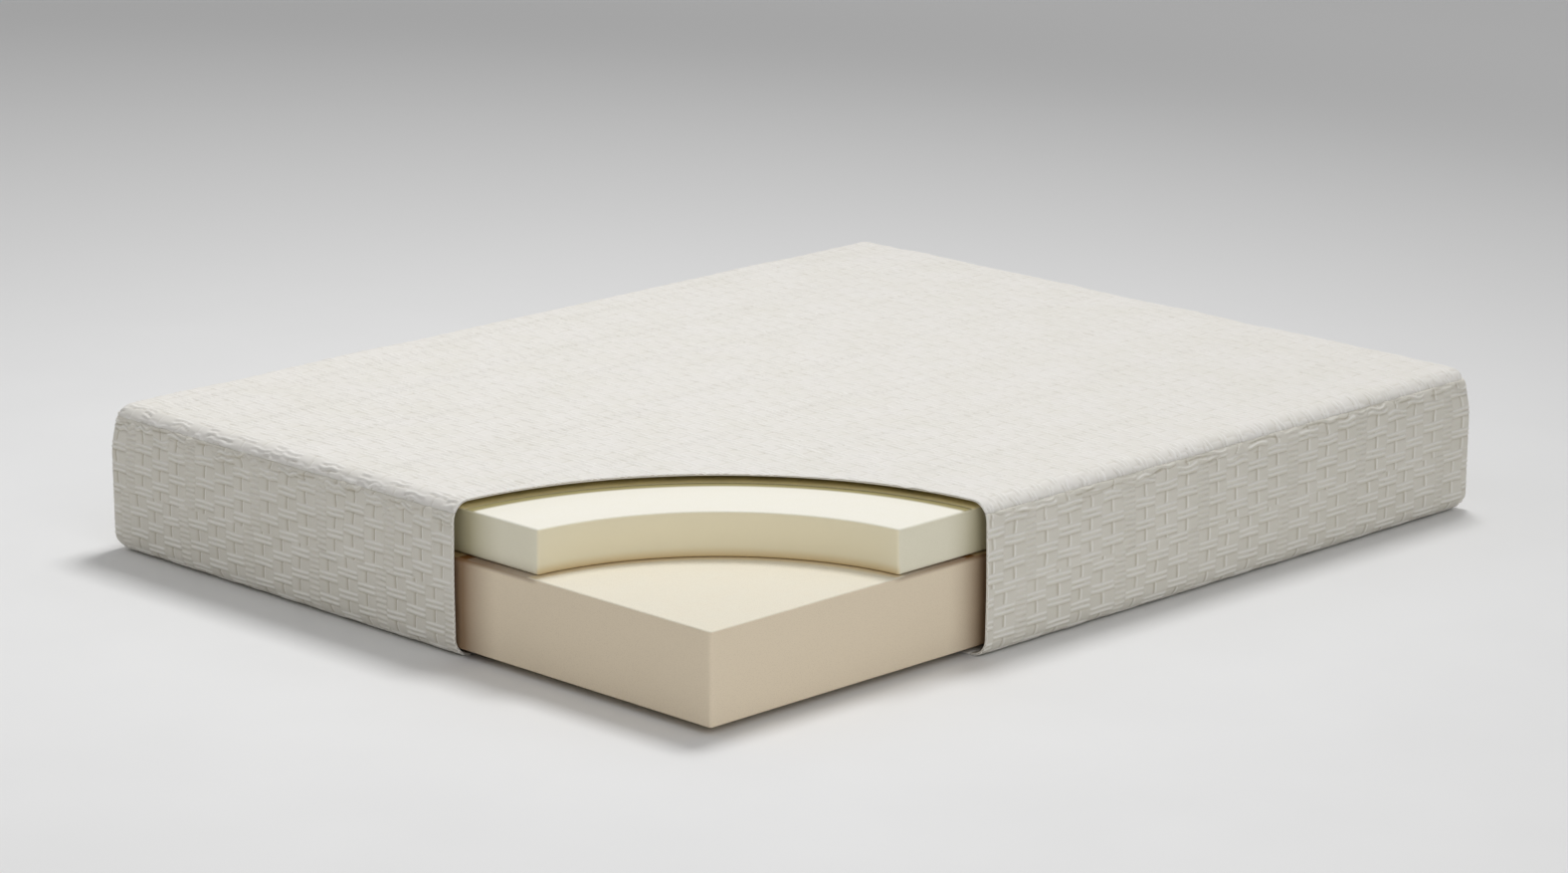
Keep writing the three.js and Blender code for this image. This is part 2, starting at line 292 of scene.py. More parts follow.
def filled(edge, inside):
    """Anticlockwise triangles over an outline and the points inside it, numbered in that order."""
    points = [Vector(p) for p in join([edge, inside])]
    found = delaunay_2d_cdt(points, [], [list(range(len(edge)))], 1, 1e-9, True)
    origin = np.array([o[0] for o in found[3]])
    return origin[np.array([face for face, of in zip(found[2], found[5]) if of])]


# A cut edge seen from the side, two layers bound together. Each row gives the depth through the cloth as
# a share, how far it stands out in millimetres, and how light it is: painted highlight on the two layers
# and painted shade in the groove between them.
CUT_LIP = [
    (0.04, 0.5, 1), (0.16, 1.1, 1), (0.3, 1.45, 1), (0.42, 1.2, 0.9), (0.49, 0, 0.2), (0.55, 0, 0.2),
    (0.62, 1.0, 0.9), (0.78, 1.15, 0.9), (0.92, 0.7, 0.8), (1, 0, 0.5),
]
INNER_TONE = 0.3  # how light the yarn looks on the inner face


def shell(name, flat, polygons, place, relief, coarse, lip_at, thick=None):
    """A closed sheet: its outer face from flat and polygons, an edge, and a plainer inner face.

    place gives points and normals for flat coordinates, relief the height above them, coarse the
    inner face's points, lip_at how much of the cut lip an edge point has, and thick the thickness.
    """
    thick = thick or (lambda p: np.full(len(p), COVER))
    points, normals = place(flat)
    height, tone = relief(flat)
    outer = points + normals * height[:, None]
    loop = rim_of(polygons, len(flat))
    edge, edge_points, edge_normals = flat[loop], points[loop], normals[loop]
    along = np.roll(edge_points, -1, axis=0) - np.roll(edge_points, 1, axis=0)
    out = unit(np.cross(along, edge_normals))
    lip, deep = lip_at(edge), thick(edge)
    rows, faces, count, before = [outer], list(polygons), len(outer), loop
    for share, stand, _ in CUT_LIP:
        drop = deep * share - height[loop] * (1 - share)
        row = edge_points - edge_normals * drop[:, None]
        rows.append(row + out * (lip * stand * MM)[:, None])
        now = count + np.arange(len(loop))
        faces.append(np.stack([before, now, np.roll(now, -1), np.roll(before, -1)], axis=1))
        before, count = now, count + len(loop)
    triangles = filled(edge, coarse)[:, ::-1]
    inner_points, inner_normals = place(coarse)
    rows.append(inner_points - inner_normals * thick(coarse)[:, None])
    number = join([before, count + np.arange(len(coarse))])
    faces.append(number[triangles])
    all_flat = join([flat] + [edge] * len(CUT_LIP) + [coarse])
    edge_tone = np.repeat([light for _, _, light in CUT_LIP], len(loop))
    all_tone = join([tone, edge_tone, np.full(len(coarse), INNER_TONE)])
    return mesh_object(name, join(rows), faces, all_flat, all_tone)


def lip_where(test):
    """A cut lip where the test of the edge's flat points holds, and a plain edge elsewhere."""
    return lambda edge: np.where(test(edge), 1.0, 0.0)


def no_lip(edge):
    return np.zeros(len(edge))


def lines(low, high, step):
    """Even places from low to high, about a step apart."""
    return np.linspace(low, high, max(2, round((high - low) / step) + 1))


def mesh_points(xs, ys):
    """The points of a grid, column by column."""
    x, y = np.meshgrid(xs, ys, indexing="ij")
    return np.stack([x.ravel(), y.ravel()], axis=1)


# ---- cover: the four borders ----
def section(t):
    """Inset, height and the two parts of the outward normal, for arc length t up a border."""
    low = np.clip(t, 0, BOTTOM_ARC) / EDGE
    high = np.clip(t - WALL_TOP, 0, None) / EDGE
    inset = EDGE * (1 - np.sin(low)) + EDGE * (1 - np.cos(high))
    wall = np.clip(t - BOTTOM_ARC, 0, WALL_TOP - BOTTOM_ARC)
    z = EDGE * (1 - np.cos(low)) + wall + EDGE * np.sin(high)
    lean = np.where(t < BOTTOM_ARC, -(math.pi / 2 - low), high)
    return inset, z, np.cos(lean), np.sin(lean)


SEAM_CORNER = EDGE * math.cos(SEAM_ANGLE)  # plan radius of the seam at a corner
CORNER_LONG = CORNER * math.pi / 4  # arc length of half an upright corner
EASE = 90 * MM  # length at a border's ends over which its columns move to meet the corners
CUT_EASE = 0.1  # and to follow the arc of the opening
BULGE = 1.6 * MM  # how far a wall stands out at half its height


def corner_radius(z):
    return CORNER + (SEAM_CORNER - CORNER) * smooth(z, SEAM_Z - 70 * MM, SEAM_Z)


def border_place(side, low_cut=None, high_cut=None):
    """Side 0 is the foot end, then right, head and left. s runs anticlockwise round the plan."""
    half = HALF_L if side % 2 else HALF_W
    face = HALF_W if side % 2 else HALF_L
    turn = np.array(Matrix.Rotation(side * math.pi / 2, 3, "Z"))
    straight = half - CORNER

    def place(flat):
        s, t = flat[:, 0], flat[:, 1]
        inset, z, out, up = section(t)
        radius = np.minimum(corner_radius(z), half)
        reach = half - inset - radius
        pull = np.clip((np.abs(s) - (straight - EASE)) / EASE, 0, 1)
        x = s - np.sign(s) * pull * (straight - reach)
        angle = np.clip((np.abs(s) - straight) / CORNER_LONG, 0, 1) * math.pi / 4
        x = np.where(angle > 0, np.sign(s) * (reach + radius * np.sin(angle)), x)
        y = -(face - inset - radius) - radius * np.cos(angle)
        opening = np.sqrt(COVER_CUT**2 - inset**2)
        if high_cut is not None:
            x = x + (HALF_W - opening - high_cut) * smooth(s, high_cut - CUT_EASE, high_cut)
        if low_cut is not None:
            x = x + (opening - HALF_L - low_cut) * smooth(-s, -low_cut - CUT_EASE, -low_cut)
        bulge = BULGE * np.sin(np.clip(z / HEIGHT, 0, 1) * math.pi) ** 2
        bulge = bulge * (1 - smooth(np.abs(s), straight - 0.12, straight))
        points = np.stack([x, y - bulge, z], axis=1)
        side_way = np.sign(s) * np.sin(angle)
        normals = np.stack([out * side_way, -out * np.cos(angle), up], axis=1)
        return points @ turn.T, normals @ turn.T

    return place


def seam_pucker(s, distance, seed, deep):
    """Gathered dips along a seam, which fade with the distance from it."""
    gather = np.clip(ripple(s, 0 * s, seed, 34 * MM, 7) - 0.1, 0, 1.6)
    fine = np.clip(ripple(s, 0 * s, seed + 1, 15 * MM, 7), 0, 1.5)
    fade = np.exp(-((distance / (9 * MM)) ** 2))
    return -deep * (gather * fade + 0.5 * fine * np.exp(-((distance / (5 * MM)) ** 2)))


def crease(distance, deep=0.8 * MM, wide=2.0 * MM):
    """A groove that runs where the distance is 0."""
    return -deep * np.exp(-((distance / wide) ** 2))


def edge_folds(s, t, distance, seed):
    """Short folds pressed in along the rounding under a seam: how deep, and the painted shade in them.
    """
    deep = np.zeros_like(s)
    for k, (middle, share) in enumerate(((7 * MM, 1.0), (15 * MM, 0.8), (24 * MM, 0.5))):
        line = middle + 3.5 * MM * ripple(s, 0 * s, seed + 10 * k, 110 * MM, 5)
        gate = smooth(ripple(s, 0 * s, seed + 10 * k + 5, 75 * MM, 5), 0.1, 0.8)
        deep += gate * np.exp(-(((distance - line) / (1.7 * MM)) ** 2)) * share
    deep = np.clip(deep, 0, 1)
    return 1.7 * MM * deep, 1 - 0.7 * deep


SIDE_RELIEF = 3.3 * MM  # height of the weave
TOP_RELIEF = 2.4 * MM
TOP_EDGE_RELIEF = 1.0 * MM  # added on the rounding
SIDE_BREAK = BOTTOM_ARC + 88 * MM  # where the weave's columns shift sideways
LOWEST = -1.6 * MM  # depth that the relief of a border is held to


def border_relief(side, wide, features=None):
    """Height and tone of a border's outer face. wide is the width of the weave's columns."""
    weave = Weave(40 + side, wide, 41 * MM, 1.15)
    half = (HALF_L if side % 2 else HALF_W) - CORNER + CORNER_LONG

    def relief(flat):
        s, t = flat[:, 0], flat[:, 1]
        to_seam = BORDER_HIGH - t
        wander = np.exp(-to_seam / (22 * MM))
        ws = s + 7 * MM * wander * ripple(s, t, 60 + side, 45 * MM)
        wt = t + 4 * MM * wander * ripple(s, t, 70 + side, 38 * MM)
        woven, tone = weave.sample(ws, wt, SIDE_BREAK)
        fade = smooth(t, 4 * MM, 30 * MM) * smooth(half - np.abs(s), 0, 6 * MM)
        fade = fade * (0.35 + 0.65 * smooth(to_seam, 0, 7 * MM))
        height = (woven - 0.45) * SIDE_RELIEF * fade
        gathered = to_seam - 4 * MM - 3 * MM * ripple(s, 0 * s, 65 + side, 50 * MM)
        height += seam_pucker(s, gathered, 80 + side, 1.5 * MM)
        height += crease(to_seam) + crease(half - np.abs(s), 0.6 * MM)
        folds, shade = edge_folds(s, t, to_seam, 20 + side)
        height, tone = height - folds, tone * shade
        height += 0.7 * MM * ripple(s, t, 90 + side, 210 * MM) * smooth(t, 30 * MM, 90 * MM)
        if features:
            height, tone = features(s, t, height, tone)
        return np.maximum(height, LOWEST), tone * fade + 0.5 * (1 - fade)

    return relief


def with_corners(s, straight, at_low=True, at_high=True):
    """Columns of a border, with close ones added round the upright corners at its ends."""
    past = straight + lines(0, CORNER_LONG, 1.2 * MM)[1:]
    return join([-past[::-1] if at_low else [], s, past if at_high else []])


def border(name, side, wide, low, high, steps):
    """A whole border. low and high are where it ends: None at a mitred corner, else at the cut."""
    straight = (HALF_L if side % 2 else HALF_W) - CORNER
    s = lines(-straight if low is None else low, straight if high is None else high, steps[0])
    s = with_corners(s, straight, low is None, high is None)
    t = lines(0, BORDER_HIGH, steps[1])
    inner_s = lines(s[0], s[-1], 40 * MM)[1:-1]
    inner_wall = lines(BOTTOM_ARC, BORDER_HIGH, 26 * MM)[1:-1]
    inner_t = join([lines(0, BOTTOM_ARC, 7 * MM)[1:], inner_wall])
    cut = high if low is None else low
    lip_at = no_lip if cut is None else lip_where(lambda e: np.abs(e[:, 0] - cut) < 1e-6)
    made = shell(
        name, mesh_points(s, t), [grid(len(s), len(t))], border_place(side, low, high),
        border_relief(side, wide), mesh_points(inner_s, inner_t), lip_at,
    )
    return made, (s[-1] - s[0], BORDER_HIGH)


# ---- cover: the top panel ----
FLAT_W, FLAT_L = HALF_W - EDGE, HALF_L - EDGE
PANEL_W, PANEL_L = FLAT_W + TOP_ARC, FLAT_L + TOP_ARC


def top_place(flat):
    """Flat coordinates of the top panel, laid over the rounding at its edges."""
    over = np.maximum(np.abs(flat) - [FLAT_W, FLAT_L], 0)
    past = np.hypot(over[:, 0], over[:, 1])
    way = np.sign(flat) * over / np.maximum(past, 1e-9)[:, None]
    angle = past / EDGE
    core = np.clip(flat, [-FLAT_W, -FLAT_L], [FLAT_W, FLAT_L])
    plan = core + way * (EDGE * np.sin(angle))[:, None]
    z = HEIGHT - EDGE * (1 - np.cos(angle))
    points = np.column_stack([plan, z])
    normals = np.column_stack([way * np.sin(angle)[:, None], np.cos(angle)])
    return points, normals


def rounded_edge_distance(flat):
    """Distance inside the top panel's outline, whose corners are rounded."""
    over = np.maximum(np.abs(flat) - [FLAT_W, FLAT_L], 0)
    return TOP_ARC - np.hypot(over[:, 0], over[:, 1])


def cut_distance(points, radius):
    """Distance in plan outside an arc round the cut corner."""
    return np.hypot(points[:, 0] - CUT_CENTRE[0], points[:, 1] - CUT_CENTRE[1]) - radius


def top_value(flat):
    """Above 0 on the top panel and below 0 off it, with the distance to its outline as its size."""
    return np.minimum(rounded_edge_distance(flat), cut_distance(top_place(flat)[0], COVER_CUT))


top_weave = Weave(7, 52 * MM, 44.5 * MM, 0.92, 0.45)
TOP_LOWEST = -1.8 * MM


def top_relief(flat):
    """Height and tone of the top panel's outer face."""
    s, t = flat[:, 0], flat[:, 1]
    to_seam = rounded_edge_distance(flat)
    at_end = np.abs(t) > FLAT_L
    wander = np.exp(-np.maximum(to_seam, 0) / (26 * MM))
    ws = s + 6 * MM * wander * ripple(s, t, 11, 48 * MM)
    wt = t + 5 * MM * wander * ripple(s, t, 12, 42 * MM)
    woven, tone = top_weave.sample(ws, wt, 30 * MM)
    fade = 0.3 + 0.7 * smooth(to_seam, 0, 8 * MM)
    height = (woven - 0.45) * (TOP_RELIEF + TOP_EDGE_RELIEF * wander) * fade
    run = np.where(at_end, s, t)
    height += seam_pucker(run, to_seam - 3 * MM, 13, 1.2 * MM) + crease(to_seam)
    height += 0.8 * MM * ripple(s, t, 14, 260 * MM)
    height += 0.5 * MM * wander * ripple(s, t, 15, 22 * MM)
    return np.maximum(height, TOP_LOWEST), tone


def inner_lines(flat_half, panel_half):
    """Places for the inner face's points: wide apart on the flat and close on the rounding."""
    arc = lines(flat_half, panel_half, 8 * MM)[:-1]
    return join([-arc[::-1], lines(-flat_half, flat_half, 60 * MM)[1:-1], arc])


def top_panel():
    step_s, step_t = ((4.0 * MM, 2.6 * MM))
    s = lines(-PANEL_W, PANEL_W, step_s)
    t = lines(-PANEL_L, PANEL_L, step_t)
    flat, polygons = clipped(mesh_points(s, t), grid(len(s), len(t)), top_value, step_t)
    coarse = mesh_points(inner_lines(FLAT_W, PANEL_W), inner_lines(FLAT_L, PANEL_L))
    coarse = coarse[top_value(coarse) > 4 * MM]
    lip_at = lip_where(lambda e: rounded_edge_distance(e) > 0.5 * MM)
    return shell("cover_top", flat, polygons, top_place, top_relief, coarse, lip_at)


# ---- cover: the quilted bottom panel ----
PAD = bottom_box[1].z  # thickness of the quilting
DIAMOND = 85 * MM


def bottom_place(flat):
    """The panel seen from below: its second coordinate runs along -Y."""
    points = np.column_stack([flat[:, 0], -flat[:, 1], np.zeros(len(flat))])
    normals = np.tile([0.0, 0.0, -1.0], (len(flat), 1))
    return points, normals


def seam_distance(flat):
    """Distance inside the bottom panel's seam."""
    return np.minimum(FLAT_W - np.abs(flat[:, 0]), FLAT_L - np.abs(flat[:, 1]))


def bottom_edge(flat):
    """Distance inside the bottom panel's outline, the opening included."""
    return np.minimum(seam_distance(flat), cut_distance(bottom_place(flat)[0], COVER_CUT))


def bottom_relief(flat):
    s, t = flat[:, 0], flat[:, 1]
    across = [np.abs(((s + way * t) / DIAMOND) % 1 - 0.5) * DIAMOND for way in (1, -1)]
    channel = np.minimum(*across)
    # the tone darkens along the quilting channels: painted shade in them
    tone = smooth(channel, 0, 9 * MM)
    height = -2.2 * MM * (1 - tone) + crease(bottom_edge(flat) - 1 * MM, 0.8 * MM)
    return np.minimum(height, 0), tone


def pad_thickness(flat):
    return COVER + (PAD - COVER) * smooth(bottom_edge(flat), 4 * MM, 45 * MM)


def bottom_panel():
    step = 7 * MM
    s, t = lines(-FLAT_W, FLAT_W, step), lines(-FLAT_L, FLAT_L, step)
    flat, polygons = clipped(mesh_points(s, t), grid(len(s), len(t)), bottom_edge, step)
    coarse = mesh_points(lines(-FLAT_W, FLAT_W, 24 * MM)[1:-1], lines(-FLAT_L, FLAT_L, 24 * MM)[1:-1])
    coarse = coarse[bottom_edge(coarse) > 5 * MM]
    lip_at = lip_where(lambda e: seam_distance(e) > 0.5 * MM)
    name = "cover_bottom"
    return shell(name, flat, polygons, bottom_place, bottom_relief, coarse, lip_at, pad_thickness)


# ---- cover: the head end, two strips with the zip's window between them ----
ZIP_T = BOTTOM_ARC + ZIP_Z - EDGE
HEM_ROWS = (3 * MM, 10 * MM)  # stitch rows, from the window's edge
HEM = 17 * MM
STITCH_PITCH = 3.4 * MM
HEAD_COLUMN = 52 * MM
GAP = 0.15 * MM  # between a strip and the middle of the closed part of the seam

# the label's centre and half size, in the head border's flat coordinates
label_low, label_high = np.array(label_box)[:, [0, 2]]
LABEL_CENTRE = (label_low + label_high) / 2 * [-1, 1] + [0, BOTTOM_ARC - EDGE]
LABEL_HALF = (label_high - label_low) / 2


def window_half(s):
    """Half the window's height at s, running out to nothing at its ends."""
    return WINDOW_HIGH / 2 * (1 - smooth(np.abs(s), WINDOW_HALF - WINDOW_END, WINDOW_HALF + WINDOW_END))


def from_window(flat, up):
    """Distance from the window's edge into the strip above it or below it."""
    return up * (flat[:, 1] - ZIP_T) - window_half(flat[:, 0])


def head_features(up):
    """The hem along the window, and the place where the label is pressed in."""

    def features(s, t, height, tone):
        flat = np.column_stack([s, t])
        open_here = window_half(s) / (WINDOW_HIGH / 2)
        from_edge = from_window(flat, up)
        hem = smooth(from_edge, 13 * MM, HEM)
        raised = 0.9 * MM * np.sqrt(np.clip(1 - (from_edge / (14 * MM) - 0.5) ** 2 * 3.4, 0, 1))
        stitched = sum(crease(from_edge - d, 0.9 * MM, 0.9 * MM) for d in HEM_ROWS)
        stitches = 0.5 + 0.5 * np.cos(2 * math.pi * s / STITCH_PITCH)
        hemmed = raised * (0.5 + 0.5 * open_here) + stitched * (0.6 + 0.4 * stitches)
        hemmed += 0.25 * MM * ripple(s, t, 31 + up, 26 * MM)
        height = np.where(from_edge < HEM, hemmed * (1 - hem) + height * hem, height)
        tone = tone * hem + 0.55 * (1 - hem)
        pressed = 1 - smooth((np.abs(flat - LABEL_CENTRE) - LABEL_HALF).max(axis=1), 0, 5 * MM)
        return height * (1 - pressed) - 1.1 * MM * pressed, tone

    return features


def head_relief(up):
    return border_relief(2, HEAD_COLUMN, head_features(up))


def head_strip(name, up):
    """up is 1 for the strip above the zip and -1 for the one below it."""
    straight = HALF_W - CORNER
    step_s, step_t = ((3.4 * MM, 1.8 * MM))
    s = with_corners(lines(-straight, straight, step_s), straight)
    far = BORDER_HIGH if up > 0 else 0
    long = abs(far - ZIP_T)

    def rows(columns, shares):
        """Flat points from the window's edge to the far edge, or the other way below the zip."""
        at, share = mesh_points(columns, shares).T
        near_edge = ZIP_T + up * (window_half(at) + GAP)
        low, high = (near_edge, far) if up > 0 else (far, near_edge)
        return np.stack([at, low + (high - low) * share], axis=1)

    shares = lines(0, 1, step_t / long)
    window_ends = lines(-20 * MM, 20 * MM, 5 * MM)
    inner_s = [lines(s[0], s[-1], 36 * MM)[1:-1], WINDOW_HALF + window_ends, -WINDOW_HALF + window_ends]
    inner_shares = np.array([4, 8, 13, 20]) * MM / long
    inner_shares = np.append(inner_shares, lines(30 * MM / long, 1 - 8 * MM / long, 20 * MM / long))
    if up < 0:
        inner_shares = 1 - inner_shares[::-1]
    coarse = rows(np.unique(join(inner_s)), inner_shares)

    def thick(p):
        """The hem is folded back to the tape, so the strip is thicker there."""
        deep = HALF_L - tape_box[1].y - COVER - 0.4 * MM
        inside = window_half(p[:, 0]) / (WINDOW_HIGH / 2)
        return COVER + deep * inside * (1 - smooth(from_window(p, up), 4.5 * MM, 8 * MM))

    def at_window(edge):
        return (np.abs(from_window(edge, up)) < 1 * MM) & (window_half(edge[:, 0]) > 4 * MM)

    made = shell(
        name, rows(s, shares), [grid(len(s), len(shares))], border_place(2),
        head_relief(up), coarse, lip_where(at_window), thick,
    )
    return made, (2 * (straight + CORNER_LONG), long)


# ---- foam ----
FILLET = 6 * MM  # radius of a layer's upright corners


def outline(low, high, cut=None):
    """Points and outward normals round a foam layer's plan, anticlockwise, its corners rounded.

    cut is the radius of the arc that takes away the corner at +X, -Y."""
    points, normals = [], []

    def arc(centre, radius, start, end, sign=1):
        step = 1.5 * MM if radius == FILLET else 10 * MM
        count = max(4, math.ceil(abs(end - start) * radius / step))
        for a in np.linspace(start, end, count + 1):
            way = np.array([math.cos(a), math.sin(a)])
            point = np.array(centre) + radius * way
            if not points or np.linalg.norm(point - points[-1]) > 0.1 * MM:
                points.append(point)
                normals.append(way * sign)

    x0, y0, x1, y1, f = low[0], low[1], high[0], high[1], FILLET
    quarter = math.pi / 2
    arc((x0 + f, y0 + f), f, 2 * quarter, 3 * quarter)
    if cut is None:
        arc((x1 - f, y0 + f), f, 3 * quarter, 4 * quarter)
    else:
        cx, cy = CUT_CENTRE
        wide = cut + f  # the fillets' centres lie on this circle
        along = cx - math.sqrt(wide**2 - (y0 + f - cy) ** 2)
        up = cy + math.sqrt(wide**2 - (x1 - f - cx) ** 2)
        first = math.atan2(y0 + f - cy, along - cx)
        last = math.atan2(up - cy, x1 - f - cx)
        arc((along, y0 + f), f, 3 * quarter, 2 * math.pi + first - math.pi)
        arc((cx, cy), cut, first, last, -1)
        arc((x1 - f, up), f, last - math.pi, 0)
    arc((x1 - f, y1 - f), f, 0, quarter)
    arc((x0 + f, y1 - f), f, quarter, 2 * quarter)
    return np.array(points), np.array(normals)


def closer(plan, ways):
    """The outline with points added on its long straight runs, to keep the caps' triangles small."""
    dense, dense_ways = [], []
    for p, q, n, m in zip(plan, np.roll(plan, -1, axis=0), ways, np.roll(ways, -1, axis=0)):
        parts = max(1, round(np.linalg.norm(q - p) / (20 * MM)))
        for k in range(parts):
            dense.append(p + (q - p) * k / parts)
            dense_ways.append(n + (m - n) * k / parts)
    return np.array(dense), np.array(dense_ways)


def foam(name, box, cut, radius):
    """A slab of cut foam, its edges softened to that radius."""
    low, high = np.array(box)
    plan, ways = closer(*outline(low, high, cut))
    turn = [i * math.pi / 2 / 6 for i in range(7)]
    tall = high[2] - low[2]
    curve = [(radius * (1 - math.sin(a)), radius * (1 - math.cos(a))) for a in turn]
    walls = lines(low[2] + radius, high[2] - radius, 12 * MM)[1:-1] - low[2]
    # inset and height of each ring of points; the first and last lie a little inside the caps
    profile = [(radius + 3 * MM, 0), *curve, *((0, z) for z in walls)]
    profile += [(inset, tall - z) for inset, z in reversed(curve)]
    profile.append((radius + 3 * MM, tall))
    rings, faces, n = [], [], len(plan)
    for k, (inset, z) in enumerate(profile):
        ring = plan - ways * min(inset, radius)
        if inset > radius:
            along = np.roll(ring, -1, axis=0) - np.roll(ring, 1, axis=0)
            ring = ring + unit(np.stack([-along[:, 1], along[:, 0]], axis=1)) * 0.5 * MM
        wave = 0.25 * MM * ripple(ring[:, 0] + 3 * z, ring[:, 1] - 2 * z, 5, 180 * MM)
        rings.append(np.column_stack([ring - ways * wave[:, None], np.full(n, low[2] + z)]))
        if k:
            a = (k - 1) * n + np.arange(n)
            faces.append(np.stack([a, np.roll(a, -1), np.roll(a, -1) + n, a + n], axis=1))
    fill = mesh_points(lines(low[0], high[0], 45 * MM), lines(low[1], high[1], 45 * MM))
    inside = (np.abs(fill - (low + high)[:2] / 2) < (high - low)[:2] / 2 - 20 * MM).all(axis=1)
    if cut is not None:
        inside &= cut_distance(fill, cut) > 20 * MM
    fill = fill[inside]
    points, total = rings.copy(), len(rings) * n
    for first, ring, z, turned in ((0, rings[0], low[2], -1), (total - n, rings[-1], high[2], 1)):
        number = join([first + np.arange(n), total + np.arange(len(fill))])
        faces.append(number[filled(ring[:, :2], fill)[:, ::turned]])
        points.append(np.column_stack([fill, np.full(len(fill), z)]))
        total += len(fill)
    return mesh_object(name, join(points), faces)


# ---- the zip, its stitching and the label ----
def softened(name, node, width):
    """The solid of a CAD node with its sharp edges rounded off."""
    shape = bmesh.new()
    shape.from_mesh(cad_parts[node].data)
    bmesh.ops.remove_doubles(shape, verts=shape.verts, dist=1e-6)
    bmesh.ops.dissolve_limit(shape, angle_limit=math.radians(1), verts=shape.verts, edges=shape.edges)
    sharp = [e for e in shape.edges if e.calc_face_angle(0) > math.radians(25)]
    bmesh.ops.bevel(
        shape, geom=sharp, offset=width, segments=3, profile=0.5, affect="EDGES", clamp_overlap=True
    )
    bmesh.ops.remove_doubles(shape, verts=shape.verts, dist=1e-6)
    mesh = bpy.data.meshes.new(name)
    shape.to_mesh(mesh)
    shape.free()
    mesh.polygons.foreach_set("use_smooth", np.ones(len(mesh.polygons), bool))
    mesh.set_sharp_from_angle(angle=math.radians(40))
    return placed(name, mesh)


def tubes(name, rings):
    """Closed tubes through rings of points, as an array: tube, ring in it, point in that, x y z."""
    count, n, m = rings.shape[:3]
    quads = grid(n, m + 1)
    quads = (quads // (m + 1) * m + quads % (m + 1) % m)[:, ::-1]
    caps = np.stack([np.arange(m)[::-1], np.arange(m) + (n - 1) * m])
    first = np.arange(count)[:, None, None] * n * m
    faces = [(quads + first).reshape(-1, 4), (caps + first).reshape(-1, m)]
    return mesh_object(name, rings.reshape(-1, 3), faces)


def around(first, second):
    """Six directions round a thread, from two that are square to it."""
    b = np.arange(6)[:, None] * math.pi / 3
    return np.cos(b) * first[..., None, :] + np.sin(b) * second[..., None, :]


# a tape's section: shares of its width, from the coil outward, and of its thickness
TAPE_SHARES = [0, 0.008, 0.03, 0.08, 0.12, 0.16, 0.3, 0.5, 0.7, 0.85, 0.92, 0.97, 0.992, 1]
TAPE_THICK = [0.3, 0.75, 1, 1, 0.85, 0.7, 0.7, 0.7, 0.7, 0.7, 0.7, 0.7, 0.6, 0.25]


def zip_tape(name, node, up):
    """One side's woven tape: a flat strip with soft edges and a thicker cord along the coil."""
    low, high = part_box(node)
    mid, thick = (low.y + high.y) / 2, (high.y - low.y) / 2 * np.array(TAPE_THICK)
    inner, outer = (low.z, high.z) if up > 0 else (high.z, low.z)
    z = inner + (outer - inner) * np.array(TAPE_SHARES)
    section_z = join([z, z[::-1]])[::up]
    section_y = join([mid + thick, (mid - thick)[::-1]])[::up]
    xs = lines(low.x, high.x, 12 * MM)
    rings = np.empty((1, len(xs), len(section_z), 3))
    rings[..., 0], rings[..., 1], rings[..., 2] = xs[:, None], section_y, section_z
    return tubes(name, rings)


COIL_PITCH = 1.5 * MM
COIL_WIRE = 0.36 * MM


def zip_coil(name, node):
    """One side's coil: a flattened spiral of nylon wire."""
    low, high = np.array(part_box(node))
    centre = (low + high) / 2
    long, reach_y, reach_z = (high - low) * [1, 0.5, 0.5] - [2 * COIL_WIRE, COIL_WIRE, COIL_WIRE]
    turns = round(long / COIL_PITCH)
    a = np.linspace(0, 2 * math.pi * turns, turns * 12 + 1)
    x = low[0] + COIL_WIRE + long * a / a[-1]
    y, z = centre[1] + reach_y * np.cos(a), centre[2] + reach_z * np.sin(a)
    spine = np.stack([x, y, z], axis=1)
    ahead = unit(np.gradient(spine, axis=0))
    across = unit(np.cross(ahead, np.stack([0 * a, np.cos(a), np.sin(a)], axis=1)))
    rings = spine[:, None] + COIL_WIRE * around(np.cross(across, ahead), across)
    return tubes(name, rings[None])


THREAD = 0.28 * MM
STITCH_SHARES = np.array([0.0, 0.12, 0.5, 0.88, 1.0])  # places along a stitch
STITCH_LIFT = np.array([-0.5, 0.12, 0.3, 0.12, -0.5]) * MM
STITCH_THICK = np.array([0.5, 1, 1, 1, 0.5]) * THREAD


def stitch_row(relief, path):
    """Rings of the stitches along a path on the head border, each dipping in at its ends."""
    run = np.append(0, np.cumsum(np.linalg.norm(np.diff(path, axis=0), axis=1)))
    count = int(run[-1] / STITCH_PITCH)
    starts = np.arange(count) * STITCH_PITCH + 0.5 * MM
    along = (starts[:, None] + STITCH_SHARES * (STITCH_PITCH - 0.9 * MM)).ravel()
    flat = np.stack([np.interp(along, run, path[:, k]) for k in (0, 1)], axis=1)
    points, normals = border_place(2)(flat)
    points = points + normals * (relief(flat)[0] + np.tile(STITCH_LIFT, count))[:, None]
    points, normals = points.reshape(count, 5, 3), normals.reshape(count, 5, 3)
    across = np.cross(unit(points[:, -1] - points[:, 0])[:, None], normals)
    return points[:, :, None] + around(normals, across) * STITCH_THICK[:, None, None]


def hem_stitches():
    at = lines(-WINDOW_HALF - 8 * MM, WINDOW_HALF + 8 * MM, 2 * MM)
    rows = [(up, from_edge) for up in (1, -1) for from_edge in HEM_ROWS]
    return [
        stitch_row(head_relief(up), np.stack([at, ZIP_T + up * (window_half(at) + from_edge)], axis=1))
        for up, from_edge in rows
    ]


LABEL_INSET = 2.4 * MM  # of its stitches
LABEL_THICK = 0.5 * MM
LABEL_SKIN = -0.35 * MM  # the label's face, from the bulged face of the border


